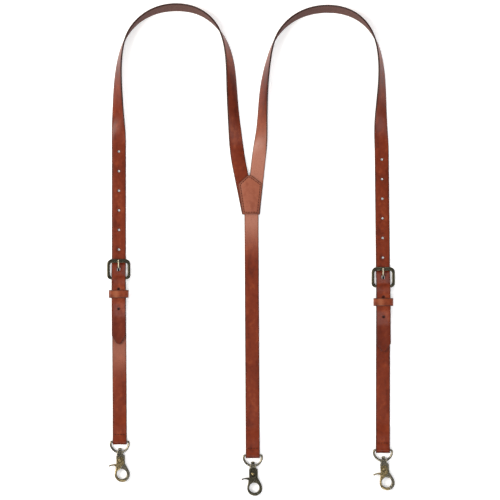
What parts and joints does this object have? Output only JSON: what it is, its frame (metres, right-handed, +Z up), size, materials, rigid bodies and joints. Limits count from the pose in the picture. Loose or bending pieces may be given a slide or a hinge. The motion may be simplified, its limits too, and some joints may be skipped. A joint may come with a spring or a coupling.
{
  "type": "suspenders",
  "caption": "Leather Y-back suspenders with punched adjusting straps, prong buckles, sliding keepers, a stitched yoke and swivel trigger hooks.",
  "frame": {"origin": "on the table under the middle of the yoke, on the backing patch's underside", "axes": "+Z up from the table, +Y from the yoke towards the shoulder arches, +X to the right seen from above"},
  "size_m": [0.3049, 0.5208, 0.0151],
  "materials": {
    "strap_leather": "satin",
    "patch_leather": "satin",
    "keeper_leather": "satin",
    "thread": "matte",
    "antique_brass": "antique, worn",
    "spring_steel": "satin"
  },
  "bodies": {
    "straps": {"left_strap": "strap_leather", "left_lower_strap": "strap_leather", "left_buckle_stitching": "thread", "right_strap": "strap_leather", "right_lower_strap": "strap_leather", "right_buckle_stitching": "thread", "back_strap": "strap_leather", "yoke_back_patch": "patch_leather", "yoke_front_patch": "patch_leather", "yoke_stitching": "thread", "left_hook_stitching": "thread", "back_hook_stitching": "thread", "right_hook_stitching": "thread"},
    "left_buckle": {"left_buckle_frame": "antique_brass"},
    "left_prong": {"left_buckle_prong": "antique_brass"},
    "left_keeper_loop": {"left_keeper": "keeper_leather"},
    "right_buckle": {"right_buckle_frame": "antique_brass"},
    "right_prong": {"right_buckle_prong": "antique_brass"},
    "right_keeper_loop": {"right_keeper": "keeper_leather"},
    "left_ring": {"left_swivel_ring": "antique_brass"},
    "left_hook": {"left_hook_body": "antique_brass", "left_hook_rivet": "antique_brass", "left_hook_spring": "spring_steel"},
    "left_lever": {"left_hook_lever": "antique_brass"},
    "back_ring": {"back_swivel_ring": "antique_brass"},
    "back_hook": {"back_hook_body": "antique_brass", "back_hook_rivet": "antique_brass", "back_hook_spring": "spring_steel"},
    "back_lever": {"back_hook_lever": "antique_brass"},
    "right_ring": {"right_swivel_ring": "antique_brass"},
    "right_hook": {"right_hook_body": "antique_brass", "right_hook_rivet": "antique_brass", "right_hook_spring": "spring_steel"},
    "right_lever": {"right_hook_lever": "antique_brass"}
  },
  "joints": [
    {"name": "left_buckle_hinge", "type": "hinge", "parent": "straps", "child": "left_buckle", "pos_m": [-0.14, -0.0828, 0.0031], "axis": [1, 0.0058, 0], "range_deg": [0, 3]},
    {"name": "left_prong_hinge", "type": "hinge", "parent": "left_buckle", "child": "left_prong", "pos_m": [-0.14, -0.0828, 0.0031], "axis": [1, 0.0058, 0], "range_deg": [0, 3]},
    {"name": "left_keeper_slide", "type": "slide", "parent": "straps", "child": "left_keeper_loop", "axis": [-0.0058, 1, 0], "range_m": [-0.004, 0.004]},
    {"name": "right_buckle_hinge", "type": "hinge", "parent": "straps", "child": "right_buckle", "pos_m": [0.14, -0.0913, 0.0031], "axis": [1, -0.0017, 0], "range_deg": [0, 3]},
    {"name": "right_prong_hinge", "type": "hinge", "parent": "right_buckle", "child": "right_prong", "pos_m": [0.14, -0.0913, 0.0031], "axis": [1, -0.0017, 0], "range_deg": [0, 3]},
    {"name": "right_keeper_slide", "type": "slide", "parent": "straps", "child": "right_keeper_loop", "axis": [0.0017, 1, 0], "range_m": [-0.004, 0.004]},
    {"name": "left_ring_hinge", "type": "hinge", "parent": "straps", "child": "left_ring", "pos_m": [-0.139, -0.256, 0.00295], "axis": [1, 0.0058, 0], "range_deg": [-115, 115]},
    {"name": "left_hook_swivel", "type": "hinge", "parent": "left_ring", "child": "left_hook", "pos_m": [-0.13868, -0.26725, 0.00295], "axis": [-0.0319, 0.9995, 0], "continuous": true},
    {"name": "left_lever_hinge", "type": "hinge", "parent": "left_hook", "child": "left_lever", "pos_m": [-0.13892, -0.27556, 0.00295], "axis": [0, 0, -1], "range_deg": [0, 28], "stiffness_Nm_per_rad": 0.03, "springref_deg": -20.05},
    {"name": "back_ring_hinge", "type": "hinge", "parent": "straps", "child": "back_ring", "pos_m": [0.0019, -0.2705, 0.00295], "axis": [1, 0.0055, 0], "range_deg": [-115, 115]},
    {"name": "back_hook_swivel", "type": "hinge", "parent": "back_ring", "child": "back_hook", "pos_m": [0.00205, -0.28175, 0.00295], "axis": [-0.0142, 0.9999, 0], "continuous": true},
    {"name": "back_lever_hinge", "type": "hinge", "parent": "back_hook", "child": "back_lever", "pos_m": [0.00166, -0.29006, 0.00295], "axis": [0, 0, -1], "range_deg": [0, 28], "stiffness_Nm_per_rad": 0.03, "springref_deg": -20.05},
    {"name": "right_ring_hinge", "type": "hinge", "parent": "straps", "child": "right_ring", "pos_m": [0.1397, -0.265, 0.00295], "axis": [1, -0.0017, 0], "range_deg": [-115, 115]},
    {"name": "right_hook_swivel", "type": "hinge", "parent": "right_ring", "child": "right_hook", "pos_m": [0.14052, -0.27621, 0.00295], "axis": [-0.0854, 0.9963, 0], "continuous": true},
    {"name": "right_lever_hinge", "type": "hinge", "parent": "right_hook", "child": "right_lever", "pos_m": [0.14073, -0.28453, 0.00295], "axis": [0, 0, -1], "range_deg": [0, 28], "stiffness_Nm_per_rad": 0.03, "springref_deg": -20.05}
  ]
}
